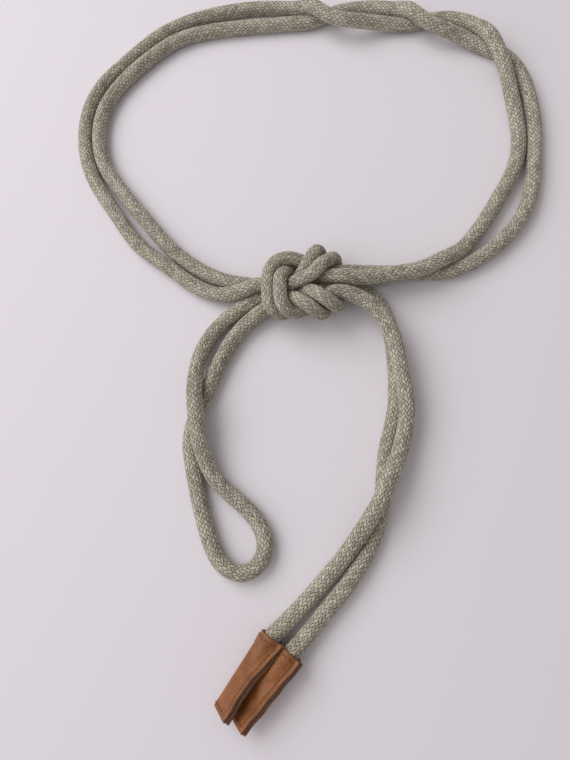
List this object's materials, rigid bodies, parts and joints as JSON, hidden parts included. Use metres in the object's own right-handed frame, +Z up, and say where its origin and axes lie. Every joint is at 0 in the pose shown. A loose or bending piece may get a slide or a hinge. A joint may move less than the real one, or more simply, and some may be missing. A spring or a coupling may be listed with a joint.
{
  "type": "rope belt",
  "caption": "Doubled braided rope belt tied in a flat knot, with a folded rope loop at one tail and stitched leather ends at the other.",
  "frame": {"origin": "middle of the belt's bounding box, on the floor it lies on", "axes": "+X to the right and +Y from the tails towards the far side of the waist loop, as the belt is seen from above; +Z up from the floor"},
  "size_m": [0.3304, 0.5012, 0.0319],
  "materials": {
    "rope": "round cotton braid in mixed cream and grey-olive yarns",
    "leather": "tan leather with dark raw edges and a stitched seam"
  },
  "bodies": {
    "root": {"rope_first_tail": "rope", "rope_first_collar": "rope", "rope_first_waist": "rope", "rope_first_bight": "rope", "rope_tail_loop": "rope", "rope_second_bight": "rope", "rope_second_waist": "rope", "rope_second_collar": "rope", "rope_second_tail": "rope", "leather_end_first": "leather", "leather_end_second": "leather"}
  },
  "joints": []
}
